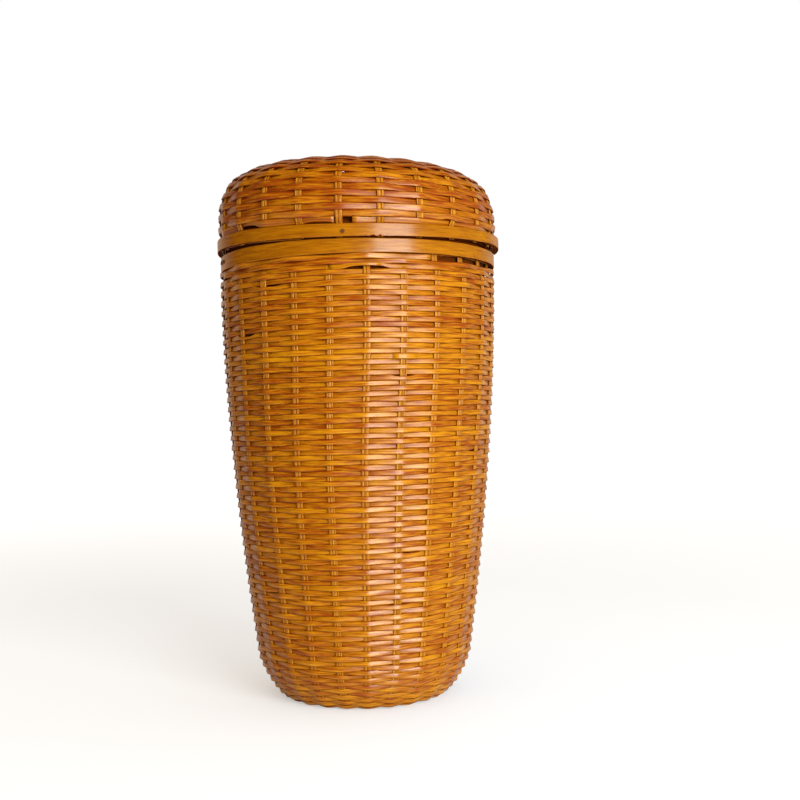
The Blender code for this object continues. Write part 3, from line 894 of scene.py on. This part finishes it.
# %% The hoop tree
hoop_radius_mm = 56.0   # so that the grain of a hoop is in millimetres too
hoop_tree, h = new_tree("Bent hoop", {
    "Inner radius": 0.055, "Thickness": 0.0012, "Low": 0.17, "High": 0.175, "Start": 0.0, "Length": 6.2,
    "Overlap": 0.0, "Ramp": 0.157, "Thin end": 0.45, "Waver": 0.00008, "Warp": 0.0, "Wide side": 0.0,
    "Wide at": 0.0, "Chipped at": 0.0, "Chipped": 0.0, "Seed": 1.0,
    "Steps": 200, "Section": 20, "Finish": "Material"})
grid, u, v, open_ring = strip_grid(hoop_tree, h["Steps"], h["Section"])
turned = h["Length"] * u
angle = h["Start"] + turned
has_overlap = h["Overlap"].math("GREATER_THAN", 0.001)
overlap = h["Overlap"].math("MAXIMUM", 0.001)
into_start = (turned / overlap).clamped().math("MAXIMUM", 1.0 - has_overlap)
past_turn = turned - math.tau
into_end = (past_turn / overlap).clamped() * has_overlap
climbing = ((past_turn + h["Ramp"]) / h["Ramp"]).clamped() * has_overlap
thin = h["Thin end"]
depth = h["Thickness"] * (thin + (1.0 - thin) * into_start) * (1.0 - (1.0 - thin) * into_end)
climb = thin * h["Thickness"] + gap * 0.5
inner = h["Inner radius"] + climb * smooth_step(climbing) + h["Thickness"] * (1.0 - thin) * into_end

square_across, square_out = oval(v, 0.15, 0.2)
wave = noise(vector(angle * 3.0, square_across * 2.0, h["Seed"])) * h["Waver"]
ring = inner + depth * 0.5 + square_out * depth * 0.5 * open_ring + wave * 0.6
x, y = ring * angle.sin(), -(ring * angle.cos())
low = h["Low"] - h["Wide side"] * ((angle - h["Wide at"]).cos() * 0.5 + 0.5) ** 2.0
middle, tall = (low + h["High"]) * 0.5, (h["High"] - low) * 0.5
z = middle + (square_across * tall - wave.abs() * square_across.math("SIGN")) * open_ring
chip_end, chip_fade = 0.9965, 500.0   # chip_end is the cosine of the angle that the chips reach
chipped = (((angle - h["Chipped at"]).cos() - chip_end) * chip_fade).clamped() * h["Chipped"]
end_tree(grid, (turned * hoop_radius_mm, square_across, h["Seed"]), (0.0, 0.0, chipped),
         x, y, z, h["Warp"], h["Finish"])

# %% Bend the two hoops and the two inner rings
butt_gap = math.radians(0.6)   # between two butted ends
whole = math.tau - butt_gap
lid_overlap = math.radians(34)
collar_top = body_height + collar_proud


def bend(name, rides, finish, node, start, low, high, inner, thickness, **sizes):
    """Bend a strip round between two heights, from an angle in degrees."""
    ring = bake(hoop_tree, name, Start=math.radians(start), Low=low, High=high, Thickness=thickness,
                **{"Inner radius": inner, "Length": whole, **sizes})
    finish_piece(ring, rides, finish, node)


bend("body_hoop_strip", "basket", "hoop", "body_hoop", start=150, low=body_height - hoop_height,
     high=body_height, inner=weave_at_rim + gap, thickness=hoop_thickness, Finish=hoop_finish, Seed=2.0,
     **{"Wide side": 0.0009, "Wide at": math.radians(-75)})
bend("collar_strip", "basket", "collar", "collar", start=20, low=collar_top - collar_height,
     high=collar_top, inner=collar_outer - collar_thickness, thickness=collar_thickness,
     Finish=collar_shaded_finish, Seed=5.0, Waver=0.00012)
bend("lid_hoop_strip", "lid", "hoop", "lid_hoop", start=64, low=seat, high=seat + lid_hoop_height,
     inner=lid_weave_at_rim + gap, thickness=hoop_thickness, Finish=hoop_finish, Seed=7.0,
     Length=math.tau + lid_overlap, Overlap=lid_overlap, Warp=rim_warp, Chipped=1.0,
     **{"Chipped at": math.radians(8)})
bend("lid_inner_strip", "lid", "collar", "lid_inner_hoop", start=160, low=seat,
     high=seat + inner_hoop_height, inner=inner_hoop_inner, thickness=inner_hoop_thickness,
     Finish=collar_shaded_finish, Seed=9.0, Warp=rim_warp)

# %% [markdown]
# ## The nails
# The three nails keep their solids from the frame and get the iron finish.

# %% Dress the nails
for node in ("body_hoop_nail_1", "body_hoop_nail_2", "lid_hoop_nail"):
    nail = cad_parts[node]
    for slot in nail.material_slots:
        slot.material = iron_finish
    print(node, "slots:", len(nail.material_slots))

# The outlines and paths have done their work.
for helper in helpers:
    bpy.data.objects.remove(helper, do_unlink=True)

# %% [markdown]
# ## Floor, light and camera
# The basket stands on a plain pale floor, lit by a wide soft lamp and a low one at the front right. The
# lacquer mirrors a world that is dim in front and paler behind and to the right. To the camera the world
# is white, and the floor's own glow rises away from the basket, so that the two meet without an edge. The
# camera is close to the basket, near the middle of its height.

# %% Floor
floor_mesh = bpy.data.meshes.new("floor")
floor_mesh.from_pydata([(-3, -3, 0), (3, -3, 0), (3, 3, 0), (-3, 3, 0)], [], [(0, 1, 2, 3)])
floor = new_object("floor", floor_mesh)
floor_finish, floor_tree, floor_shader = new_material("Pale floor")
floor_seen = out(floor_tree.nodes.new("ShaderNodeLightPath"), "Is Camera Ray")
floor_x, floor_y, _ = parts(out(add(floor_tree, "ShaderNodeTexCoord"), "Object"))
glow, glow_rise, rises_from = 0.42, 0.3, 0.3
far_away = ((floor_x * floor_x + floor_y * floor_y) ** 0.5 - rises_from).clamped()
feed_all(floor_shader, {"Base Color": (0.77, 0.86, 0.96, 1), "Roughness": 0.85,
                        "Emission Color": (1, 1, 1, 1),
                        "Emission Strength": floor_seen * (glow + far_away * glow_rise)})
floor.data.materials.append(floor_finish)

# %% World and lamps
world = bpy.data.worlds.new("Studio")
scene.world = world
world.use_nodes = True
sky = world.node_tree
background = sky.nodes["Background"]
light_path = sky.nodes.new("ShaderNodeLightPath")
towards_right, towards_back, _ = parts(out(add(sky, "ShaderNodeTexCoord"), "Generated"))
dim_front, pale_back, pale_right, room_light = 0.02, 0.6, 0.18, 0.6
mirrored = (dim_front + ((towards_back - 0.5) * 3.3).clamped() * pale_back
            + towards_right.clamped() ** 2.0 * pale_right)
seen = out(light_path, "Is Camera Ray").math("MAXIMUM", out(light_path, "Is Transmission Ray"))
glossy = out(light_path, "Is Glossy Ray")
# The world's light on the basket is warmest from the left.
warm = ((0.45 - towards_right * 0.8).clamped() * (1.0 - glossy) + glossy * 0.55) * (1.0 - seen)
feed_all(background, {
    "Color": blend_colours(warm, (1, 1, 1, 1), (1.0, 0.66, 0.34, 1)),
    "Strength": seen + (1.0 - seen) * (glossy * mirrored + (1.0 - glossy) * room_light)})

aim_height = 0.11   # the lamps face the middle of the basket


def soft_lamp(name, azimuth, elevation, distance, width, height, power):
    """An area lamp that faces the basket. Azimuth is counted from the camera's side towards +X."""
    lamp = bpy.data.lights.new(name, "AREA")
    lamp.color = (1.0, 0.99, 0.93)
    lamp.shape, lamp.size, lamp.size_y, lamp.energy = "RECTANGLE", width, height, power
    made = new_object(name, lamp)
    turn, rise = math.radians(azimuth), math.radians(elevation)
    away = outward(turn) * math.cos(rise) + Vector((0, 0, math.sin(rise)))
    made.location = Vector((0, 0, aim_height)) + away * distance
    made.rotation_euler = (-away).to_track_quat("-Z", "Y").to_euler()


soft_lamp("key", azimuth=30, elevation=12, distance=1.1, width=0.56, height=0.65, power=9.0)
soft_lamp("low", azimuth=27, elevation=0.5, distance=1.1, width=0.85, height=0.2, power=4.6)

# %% Camera
camera_data = bpy.data.cameras.new("photo_camera")
camera_data.lens, camera_data.sensor_width = 49.5, 36.0
camera = new_object("photo_camera", camera_data)
camera_place = (0.0163, -0.4550, 0.1105)
pitch_up, roll = math.radians(1.008), math.radians(1.12)
look = Vector((0, math.cos(pitch_up), math.sin(pitch_up)))
right = look.cross(Vector((math.sin(roll), 0, math.cos(roll)))).normalized()
up = right.cross(look)
turn_to = Matrix((right, up, -look)).transposed().to_4x4()
camera.matrix_world = Matrix.Translation(camera_place) @ turn_to
camera_data.clip_start = 0.01
scene.camera = camera
scene.view_settings.view_transform = "Standard"
print("camera at", [round(value, 4) for value in camera.location])
